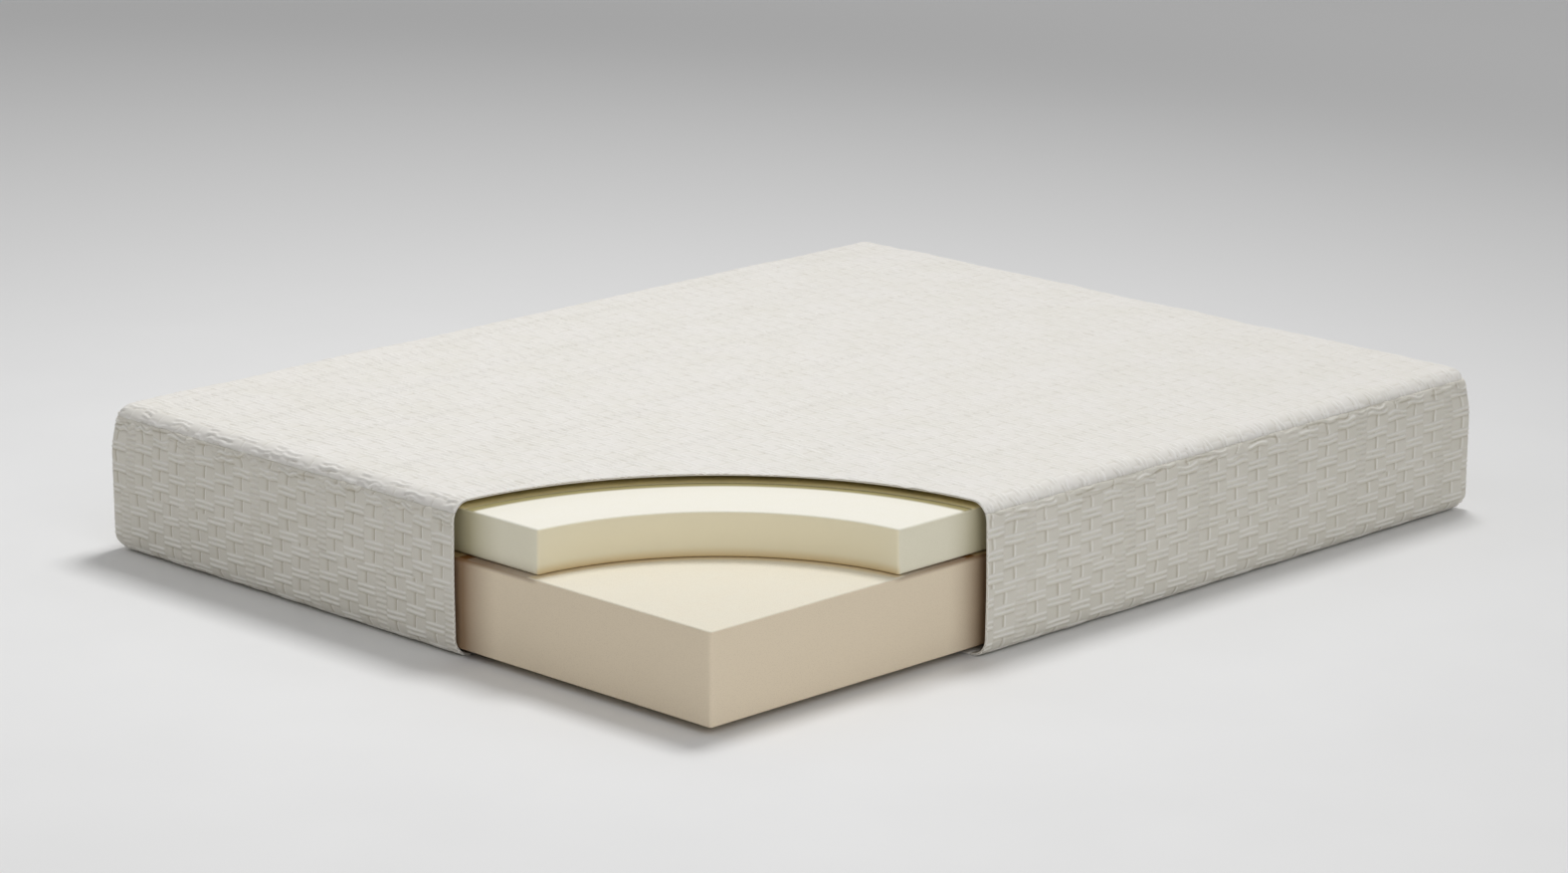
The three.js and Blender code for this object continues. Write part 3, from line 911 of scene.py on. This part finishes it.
def label_relief(flat):
    inside = (LABEL_HALF - np.abs(flat - LABEL_CENTRE)).min(axis=1)
    folded = 0.22 * MM * (1 - smooth(inside, 4.0 * MM, 5.0 * MM))
    height = LABEL_SKIN + folded + crease(inside - LABEL_INSET, 0.2 * MM, 0.7 * MM)
    height += 0.12 * MM * ripple(flat[:, 0], flat[:, 1], 51, 30 * MM) * smooth(inside, 3 * MM, 15 * MM)
    return height, np.ones(len(flat))


def care_label():
    s, t = (c + lines(-half, half, 1.0 * MM) for c, half in zip(LABEL_CENTRE, LABEL_HALF))
    coarse = mesh_points(s[8:-8:8], t[8:-8:8])
    return shell(
        "blank_label", mesh_points(s, t), [grid(len(s), len(t))], border_place(2), label_relief, coarse,
        no_lip, lambda p: np.full(len(p), LABEL_THICK),
    )


def label_stitches():
    ring = np.array([(-1, -1), (1, -1), (1, 1), (-1, 1), (-1, -1)])
    ring = ring * (LABEL_HALF - LABEL_INSET) + LABEL_CENTRE
    return [stitch_row(label_relief, ring[k : k + 2]) for k in range(4)]


# ---- materials ----
class Nodes:
    """A material's node tree, built by chained calls. A value is a number, a colour or an output."""

    def __init__(self, name):
        self.material = bpy.data.materials.new(name)
        self.material.use_nodes = True
        self.tree = self.material.node_tree

    def feed(self, node, inputs):
        for key, value in inputs.items():
            if isinstance(value, bpy.types.NodeSocket):
                self.tree.links.new(value, node.inputs[key])
            elif value is not None:
                node.inputs[key].default_value = value

    def add(self, kind, inputs, output=0, **settings):
        node = self.tree.nodes.new("ShaderNode" + kind)
        for key, value in settings.items():
            setattr(node, key, value)
        self.feed(node, inputs)
        return node.outputs[output]

    def attribute(self, name, output="Fac"):
        return self.add("Attribute", {}, output, attribute_name=name)

    def place(self):
        return self.add("TexCoord", {}, "Object")

    def mapped(self, place, **inputs):
        return self.add("Mapping", {"Vector": place, **inputs})

    def noise(self, place, scale, detail=2.0, rough=0.5):
        inputs = {"Vector": place, "Scale": scale, "Detail": detail, "Roughness": rough}
        return self.add("TexNoise", inputs, "Fac")

    def wave(self, place, scale, way, distortion, detail=2.0):
        inputs = {"Vector": place, "Scale": scale, "Distortion": distortion, "Detail": detail}
        return self.add("TexWave", inputs, "Fac", bands_direction=way)

    def distance(self, place, centre):
        return self.add("VectorMath", {0: place, 1: centre}, "Value", operation="DISTANCE")

    def height(self, vector):
        return self.add("SeparateXYZ", {0: vector}, "Z")

    def maths(self, operation, a, b=0.0):
        return self.add("Math", {0: a, 1: b}, operation=operation)

    def times(self, *values):
        return functools.reduce(lambda a, b: self.maths("MULTIPLY", a, b), values)

    def span(self, value, low, high, to_low=0.0, to_high=1.0, shape="LINEAR"):
        """The value taken from one range to another, and held at its ends."""
        inputs = {"Value": value, "From Min": low, "From Max": high, "To Min": to_low, "To Max": to_high}
        return self.add("MapRange", inputs, interpolation_type=shape)

    def smooth_span(self, value, low, high, shape="SMOOTHERSTEP"):
        return self.span(value, low, high, shape=shape)

    def mix(self, share, a, b):
        return self.add("Mix", {"Factor": share, 6: a, 7: b}, 2, data_type="RGBA")

    def bump(self, height, strength, distance):
        return self.add("Bump", {"Height": height, "Strength": strength, "Distance": distance})

    def finish(self, colour, roughness, normal=None, **fixed):
        inputs = {"Base Color": colour, "Roughness": roughness, "Normal": normal}
        inputs.update((key.replace("_", " "), value) for key, value in fixed.items())
        self.feed(self.tree.nodes["Principled BSDF"], inputs)
        return self.material


def linear(*colour):
    """A colour given in sRGB, 0 to 255, as the shader takes it."""
    return *(((c / 255 + 0.055) / 1.055) ** 2.4 for c in colour), 1.0


def knit(name, light, dark, groove, crest_highlight):
    """Jacquard knit: fine ribs, a cream painted shade in the grooves, a painted highlight on the crests,
    and tone that wanders a little.
    """
    n = Nodes(name)
    flat = n.attribute("weave_place", "Vector")
    yarn = n.mix(n.span(n.noise(flat, 9.0, 3.0), 0.35, 0.65), light, dark)
    # the relief attribute holds the tone: painted highlight on the crests, painted shade in the grooves
    relief = n.attribute("relief")
    raised = n.mix(n.span(relief, 0.62, 1.0), yarn, crest_highlight)
    colour = n.mix(n.span(relief, 0.52, 0.02), raised, groove)
    stitch = n.noise(n.mapped(flat, Scale=(520.0, 900.0, 1.0)), 1.0, 2.0, 0.6)
    ribs = n.wave(flat, 190.0, "Y", 2.0, 1.0)
    fine = n.maths("ADD", n.times(stitch, 0.7), n.times(ribs, 0.3))
    colour = n.mix(n.span(fine, 0.3, 0.75, 0.0, 0.22), colour, dark)
    bump = n.bump(fine, 0.35, 0.5 * MM)
    sheen = {"Sheen_Weight": 0.06, "Sheen_Roughness": 0.6}
    return n.finish(colour, n.span(fine, 0.2, 0.8, 0.82, 0.94), bump, Specular_IOR_Level=0.15, **sheen)


# painted golden reflection of light at the joint between the foams
REFLECTED_GOLD = linear(214, 180, 108)
ARC_WALL_LIGHT = linear(246, 237, 208)  # painted light: the memory foam's sawn arc, lighter and more golden than its other sides
UNDER_COVER_SHADE_TINT = linear(238, 223, 168)  # painted olive tint of the shade on the foam's top under the cover
REFLECTION_REACH = 24 * MM  # how far from the joint the painted golden reflection tints the foam
CREVICE = 12 * MM  # and how far down the base the joint's painted shade reaches


def foam_material(name, cell, top, sides, shaded, held, reflection_span):
    """Open-cell foam: pinholes, with painted shade in them, over a smooth slab; yellower on its upright
    faces than on its top.

    It has painted shade where the cover's opening holds it, by the share held on its sides, and a
    painted golden reflection near the joint between the two foams, between two given distances from the
    cut corner."""
    n = Nodes(name)
    at = n.place()
    cells = n.add("TexVoronoi", {"Vector": at, "Scale": cell}, "Distance")
    grain = n.noise(at, cell * 1.7, 3.0, 0.65)
    pores = n.span(cells, 0.05, 0.4)
    facing = n.height(n.add("NewGeometry", {}, "Normal"))
    flat_top = n.span(facing, 0.3, 0.9)
    colour = n.mix(flat_top, sides, top)
    colour = n.mix(n.span(n.noise(at, 30.0, 5.0), 0.3, 0.7, 0.0, 0.12), colour, sides)
    # painted shade in the pinholes
    colour = n.mix(n.span(pores, 1.0, 0.0, 0.0, 0.14), colour, shaded)
    level = n.mapped(at, Scale=(1.0, 1.0, 0.0))
    x, y = CUT_CENTRE
    from_corner = n.distance(level, (x, y, 0.0))

    # painted shade on the sides near the opening; the core sits off-centre in the cover, and so does the
    # painted shade
    near = n.span(n.distance(level, (x + 12 * MM, y + 22 * MM, 0.0)), COVER_CUT - 92 * MM, COVER_CUT)
    near = n.times(n.maths("POWER", near, 1.6), n.span(facing, 0.3, 0.9, held, 0.2 * held))
    colour = n.mix(near, colour, shaded)

    # painted shadow on the top beside the cover's edge, and a painted olive tint of the shade on the top
    # under it
    under_cover = n.smooth_span(from_corner, COVER_CUT - 6 * MM, COVER_CUT + 4 * MM)
    cover_edge_shadow = n.smooth_span(from_corner, COVER_CUT - 32 * MM, COVER_CUT - 16 * MM)
    cover_edge_shadow = n.times(cover_edge_shadow, n.maths("SUBTRACT", 1.0, under_cover))
    colour = n.mix(n.times(cover_edge_shadow, flat_top), colour, shaded)
    colour = n.mix(n.times(under_cover, flat_top), colour, UNDER_COVER_SHADE_TINT)

    # the joint between the two foams: a painted golden reflection near it, and painted shade in the
    # crevice down the base
    from_joint = n.maths("ABSOLUTE", n.maths("SUBTRACT", n.height(at), base_box[1].z))
    joint_reflection = n.times(n.smooth_span(from_corner, *reflection_span), n.smooth_span(from_joint, REFLECTION_REACH, 0.0))
    if name == "base_foam":
        joint_reflection = n.times(joint_reflection, n.span(facing, 0.9, 0.99))
        joint_reflection = n.times(joint_reflection, n.span(from_corner, MEMORY_CUT + 14 * MM, MEMORY_CUT + 2 * MM))
        # painted shade in the crevice down the base, under the memory foam's edge
        ledge = n.span(from_corner, MEMORY_CUT, MEMORY_CUT + 12 * MM)
        outside = n.maths("MAXIMUM", n.span(facing, 0.9, 0.3), ledge)
        outside = n.times(outside, n.smooth_span(from_corner, MEMORY_CUT - 25 * MM, MEMORY_CUT + 5 * MM))
        deeper = n.span(from_corner, MEMORY_CUT - 20 * MM, MEMORY_CUT + 120 * MM, 0.45, 0.75)
        under = n.times(n.smooth_span(from_joint, CREVICE, 0.0), deeper, outside)
        colour = n.mix(under, colour, shaded)
    else:
        # painted light: a lighter, more golden colour on the arc wall
        wall = n.smooth_span(from_corner, MEMORY_CUT + 4 * MM, MEMORY_CUT + 1 * MM)
        colour = n.mix(n.times(wall, n.span(facing, 0.9, 0.3, 0.0, 0.9)), colour, ARC_WALL_LIGHT)
    # the painted golden reflection near the joint
    colour = n.mix(n.times(joint_reflection, 0.5), colour, REFLECTED_GOLD)
    height = n.maths("ADD", n.times(pores, 0.5), n.times(grain, 0.6))
    bump = n.bump(height, 0.25, 0.6 * MM)
    return n.finish(colour, n.span(grain, 0.3, 0.7, 0.86, 0.97), bump, Specular_IOR_Level=0.2)


# each knit's light and dark yarn, the painted shade of its grooves and the painted highlight on the
# crests of its bars
# the top's knit is lighter than the borders': partly its own fabric, partly painted light on the top and
# painted shade on the borders
top_knit = knit(
    "top_knit",
    linear(234, 231, 226), linear(231, 228, 221), linear(180, 171, 150), linear(247, 245, 241),
)
cover_knit = knit(
    "cover_knit",
    linear(226, 222, 212), linear(222, 218, 207), linear(180, 170, 148), linear(245, 243, 237),
)
bottom_fabric = knit(
    "bottom_fabric",
    linear(226, 224, 218), linear(216, 213, 206), linear(196, 189, 173), linear(231, 229, 224),
)
# cell scale, top and side colours, the painted shade's colour, its share on the sides, and where the
# painted golden reflection lies
memory_foam = foam_material(
    "memory_foam", 480.0, linear(245, 242, 231), linear(241, 236, 214), linear(160, 150, 104),
    0.68, (MEMORY_CUT + 8 * MM, MEMORY_CUT - 1 * MM),
)
base_foam = foam_material(
    "base_foam", 420.0, linear(234, 228, 211), linear(236, 221, 196), linear(114, 74, 28),
    0.8, (MEMORY_CUT - 22 * MM, MEMORY_CUT),
)


# the plain materials: name, pattern, its range, two colours that it goes between, the roughness over
# another range, and the strength and depth of its bumps
PLAIN = {
    "sock_knit": (
        ("wave", 240.0, "Z", 1.5), (0.1, 0.9), (222, 218, 207), (236, 233, 225),
        (0.0, 1.0, 0.8, 0.95), (0.4, 0.4 * MM),
    ),
    "adhesive": (
        ("noise", 60.0, 3.0), (0.35, 0.65), (196, 160, 84), (222, 192, 120),
        (0.3, 0.7, 0.35, 0.6), (0.5, 0.3 * MM),
    ),
    "nylon": (
        ("noise", 60.0, 3.0), (0.35, 0.65), (226, 224, 217), (236, 234, 229),
        (0.3, 0.7, 0.28, 0.42), None,
    ),
    "thread": (
        ("noise", 1600.0, 2.0), (0.35, 0.65), (240, 238, 232), (222, 218, 208),
        (0.3, 0.7, 0.5, 0.7), (0.4, 0.1 * MM),
    ),
}


def look(name):
    """One of the plain materials."""
    (kind, *settings), span, first, second, rough, bump = PLAIN[name]
    n = Nodes(name)
    pattern = getattr(n, kind)(n.place(), *settings)
    colour = n.mix(n.span(pattern, *span), linear(*first), linear(*second))
    return n.finish(colour, n.span(pattern, *rough), bump and n.bump(pattern, *bump))


def zip_weave():
    """Polyester tape in herringbone."""
    n = Nodes("zip_weave")
    at = n.place()
    ribs = n.wave(n.mapped(at, Rotation=(0, math.radians(45), 0)), 330.0, "X", 0.6)
    fine = n.noise(at, 900.0, 2.0)
    colour = n.mix(n.span(ribs, 0.1, 0.9), linear(214, 211, 203), linear(233, 231, 225))
    colour = n.mix(n.span(fine, 0.3, 0.7, 0.0, 0.25), colour, linear(206, 202, 193))
    roughness = n.span(fine, 0.3, 0.7, 0.75, 0.9)
    return n.finish(colour, roughness, n.bump(ribs, 0.5, 0.25 * MM), Sheen_Weight=0.1)


def brushed_metal():
    """Die-cast metal, brushed along the zip and rubbed brighter in places."""
    n = Nodes("brushed_metal")
    at = n.place()
    streaks = n.noise(n.mapped(at, Scale=(60.0, 1.0, 1.0)), 2400.0, 3.0)
    rubbed = n.noise(at, 220.0, 3.0)
    colour = n.mix(n.span(rubbed, 0.35, 0.65), linear(178, 180, 184), linear(204, 205, 208))
    roughness = n.span(streaks, 0.3, 0.7, 0.24, 0.42)
    return n.finish(colour, roughness, n.bump(streaks, 0.12, 0.1 * MM), Metallic=1.0)


def satin():
    """The label's tightly woven satin, with selvedge ribs running up it."""
    n = Nodes("satin")
    at = n.place()
    weft = n.wave(at, 420.0, "Z", 0.4)
    fray = n.noise(at, 700.0, 2.0)
    colour = n.mix(n.span(weft, 0.1, 0.9), linear(238, 237, 233), linear(248, 247, 245))
    colour = n.mix(n.span(fray, 0.4, 0.7, 0.0, 0.2), colour, linear(226, 224, 218))
    roughness = n.span(weft, 0.0, 1.0, 0.42, 0.6)
    return n.finish(colour, roughness, n.bump(weft, 0.3, 0.15 * MM), Sheen_Weight=0.2)


# ---- pieces ----
def finish_piece(piece, node, material, body="mattress"):
    if node:
        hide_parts(node)
    piece.data.materials.clear()
    piece.data.materials.append(material)
    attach(piece, body)
    return piece


def steps(s, t):
    """Spacing of a border's points, given in millimetres."""
    return ((s * MM, t * MM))


def spread(box):
    """Width, length and height of a box."""
    return np.array(box[1]) - np.array(box[0])


FOOT_END = HALF_W - COVER_CUT
RIGHT_START = COVER_CUT - HALF_L
top = top_panel()
borders = {
    "cover_foot_border": border("cover_foot", 0, 52 * MM, None, FOOT_END, steps(2.0, 1.6)),
    "cover_right_border": border("cover_right", 1, 57 * MM, RIGHT_START, None, steps(2.6, 1.6)),
    "cover_left_border": border("cover_left", 3, 55 * MM, None, None, steps(3.2, 1.9)),
    "cover_head_border_upper": head_strip("cover_head_upper", 1),
    "cover_head_border_lower": head_strip("cover_head_lower", -1),
}
bottom = bottom_panel()
finish_piece(top, "cover_top_panel", top_knit)
for node, (piece, _) in borders.items():
    finish_piece(piece, node, cover_knit)
finish_piece(bottom, "cover_bottom_panel", bottom_fabric)

base = foam("base_foam_slab", base_box, None, 3.5 * MM)
finish_piece(base, "base_foam_layer", base_foam)
memory = foam("memory_foam_slab", memory_box, MEMORY_CUT, 4.5 * MM)
finish_piece(memory, "memory_foam_layer", memory_foam)

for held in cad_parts["adhesive_film"].material_slots:
    held.material = look("adhesive")

sock = softened("inner_sleeve", "inner_sock", 0.4 * MM)
finish_piece(sock, "inner_sock", look("sock_knit"))

tape_look, nylon_look, metal_look = zip_weave(), look("nylon"), brushed_metal()
zip_sides = (("upper", "top", 1), ("lower", "bottom", -1))
tapes = []
for node, shown, up in zip_sides:
    tapes.append(zip_tape("zip_tape_" + shown, "zip_tape_" + node, up))
    finish_piece(tapes[-1], "zip_tape_" + node, tape_look)
for node, shown, _ in zip_sides:
    coil = zip_coil("zip_teeth_" + shown, "zip_coil_" + node)
    finish_piece(coil, "zip_coil_" + node, nylon_look)
for name, node, width, body in (
    ("zip_clip_closed", "zip_stop_closed_end", 0.6 * MM, "mattress"),
    ("zip_clip_open", "zip_stop_open_end", 0.6 * MM, "mattress"),
    ("zip_runner", "zip_slider", 0.35 * MM, "slider"),
    ("zip_tab", "zip_pull", 0.35 * MM, "pull"),
):
    finish_piece(softened(name, node, width), node, metal_look, body)
label = finish_piece(care_label(), "care_label", satin())
stitches = tubes("sewn_stitches", join(hem_stitches() + label_stitches()))
finish_piece(stitches, None, look("thread"))

# ---- what the sheets were cut to ----
tape_long, _, tape_wide = spread(tape_box)

# the sleeve: top, bottom and walls round the foam, less its open corner
wide, long, tall = spread(sock_box)

# ---- floor, light and camera ----
scene.view_settings.view_transform = "Standard"
scene.view_settings.look = "None"


def grey(level):
    return linear(level, level, level)


def floor():
    """A pale floor with painted light: a little darker in the middle distance and lighter again far
    away.
    """
    reach = 60.0
    points = [(-reach, -reach, 0), (reach, -reach, 0), (reach, reach, 0), (-reach, reach, 0)]
    made = mesh_object("floor", points, [[[0, 1, 2, 3]]])
    n = Nodes("floor")
    at = n.place()
    far = n.smooth_span(n.distance(at, (0.1, -0.6, 0.0)), 1.3, 3.6, "SMOOTHSTEP")
    distant = n.smooth_span(n.distance(at, (-1.0, -3.0, 0.0)), 6.6, 8.6)
    near = n.mix(n.span(n.noise(at, 3.0, 2.0), 0.3, 0.7), grey(232), grey(234))
    colour = n.mix(distant, n.mix(far, near, grey(228)), grey(248))
    made.data.materials.append(n.finish(colour, 0.9, Specular_IOR_Level=0.1))


# Radiance of the sky by the sine of its elevation: a pale horizon, a dark band, and light from above.
SKY = [(0.0, 0.39), (0.06, 0.35), (0.18, 0.04), (0.3, 0.05), (0.6, 0.82), (1.0, 0.1)]


def sky():
    world = bpy.data.worlds.new("studio")
    world.use_nodes = True
    scene.world = world
    tree = world.node_tree
    place = tree.nodes.new("ShaderNodeTexCoord")
    split = tree.nodes.new("ShaderNodeSeparateXYZ")
    ramp = tree.nodes.new("ShaderNodeValToRGB")
    tree.links.new(place.outputs["Generated"], split.inputs[0])
    tree.links.new(split.outputs["Z"], ramp.inputs["Fac"])
    stops = ramp.color_ramp.elements
    for k, (at, value) in enumerate(SKY):
        stop = stops[k] if k < 2 else stops.new(at)
        stop.position, stop.color = at, (value, value, value, 1)
    tree.links.new(ramp.outputs[0], tree.nodes["Background"].inputs["Color"])


# name, place, what it points at, size, power and the spread of its beam in degrees
LAMPS = [
    ("key", (-0.9, 2.3, 7.4), (-0.3, -1.9, 0.0), 2.4, 113.0, 100),
    ("fill", (4.4, -2.25, 2.6), (0.6, -0.1, 0.1), 2.2, 35.0, 180),
]


def lamp(name, place, target, size, power, spread):
    data = bpy.data.lights.new(name, "AREA")
    data.shape, data.size, data.energy, data.spread = "SQUARE", size, power, math.radians(spread)
    made = placed(name, data)
    made.location = place
    made.rotation_euler = (Vector(target) - Vector(place)).to_track_quat("-Z", "Y").to_euler()


LENS = 112.53
CAMERA_PLACE = Vector((6.2327, -6.2965, 2.5277))
CAMERA_AZIMUTH = 44.912
CAMERA_TILT = 14.841
CAMERA_ROLL = 0.073


def camera():
    data = bpy.data.cameras.new("camera")
    data.sensor_width, data.lens = 36.0, LENS
    data.clip_end = 200.0
    made = placed("camera", data)
    made.location = CAMERA_PLACE
    turn = Matrix.Rotation(math.radians(CAMERA_AZIMUTH), 3, "Z")
    tilt = Matrix.Rotation(math.radians(90 - CAMERA_TILT), 3, "X")
    roll = Matrix.Rotation(math.radians(CAMERA_ROLL), 3, "Z")
    made.rotation_euler = (turn @ tilt @ roll).to_euler()
    scene.camera = made


floor()
sky()
for each in LAMPS:
    lamp(*each)
camera()
